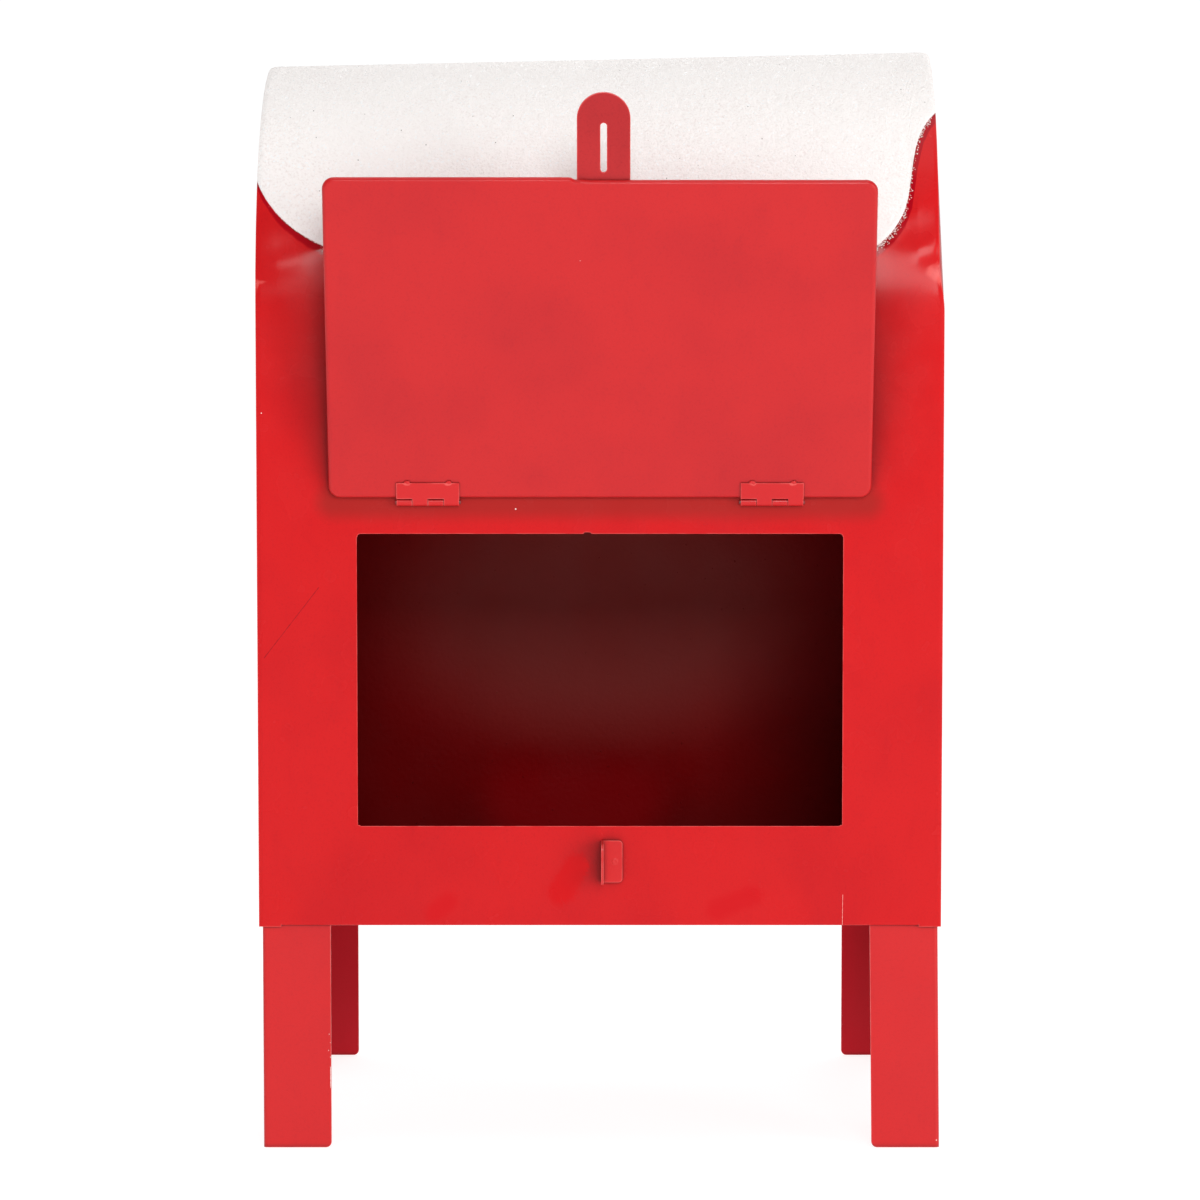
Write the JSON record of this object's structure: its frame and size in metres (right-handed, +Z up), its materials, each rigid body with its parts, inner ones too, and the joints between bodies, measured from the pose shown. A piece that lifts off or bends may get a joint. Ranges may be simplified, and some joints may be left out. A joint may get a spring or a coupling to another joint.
{
  "type": "letter collection box",
  "caption": "Standing sheet-metal letter box with a half-round snow-coated roof, angle legs, a hinged rear access door with a hasp, and a hinged letter flap.",
  "frame": {"origin": "on the ground, in the middle of the space the object fills with its access door standing open at the stored pose", "axes": "+Z up; -Y is the access door's side, +Y the letter flap's side, +X to the right as seen from the access door's side"},
  "size_m": [0.35, 0.3442, 0.5666],
  "materials": {
    "red_enamel": "satin",
    "pin_steel": "satin, overpainted",
    "snow": "granular with glitter"
  },
  "bodies": {
    "cabinet": {"wrap_shell": "red_enamel", "side_panel_left": "red_enamel", "side_panel_right": "red_enamel", "floor_pan": "red_enamel", "leg_rear_left": "red_enamel", "leg_rear_right": "red_enamel", "leg_front_left": "red_enamel", "leg_front_right": "red_enamel", "snow_coat": "snow", "padlock_staple": "red_enamel", "door_hinge_wall_leaf_left": "red_enamel", "door_hinge_wall_leaf_right": "red_enamel", "flap_hinge_wall_leaf_left": "red_enamel", "flap_hinge_wall_leaf_right": "red_enamel", "door_hinge_pin_left": "pin_steel", "door_hinge_pin_right": "pin_steel", "flap_hinge_pin_left": "pin_steel", "flap_hinge_pin_right": "pin_steel"},
    "access_door": {"access_door_panel": "red_enamel", "hasp_strap": "red_enamel", "door_hinge_leaf_left": "red_enamel", "door_hinge_leaf_right": "red_enamel"},
    "letter_flap": {"letter_flap_panel": "red_enamel", "flap_pull": "red_enamel", "flap_hinge_leaf_left": "red_enamel", "flap_hinge_leaf_right": "red_enamel"}
  },
  "joints": [
    {"name": "access_door_hinge", "type": "hinge", "parent": "cabinet", "child": "access_door", "pos_m": [0, -0.11331, 0.3334], "axis": [1, 0, 0], "range_deg": [0, 163.6]},
    {"name": "letter_flap_hinge", "type": "hinge", "parent": "cabinet", "child": "letter_flap", "pos_m": [0, 0.16129, 0.412], "axis": [1, 0, 0], "range_deg": [0, 163]}
  ]
}
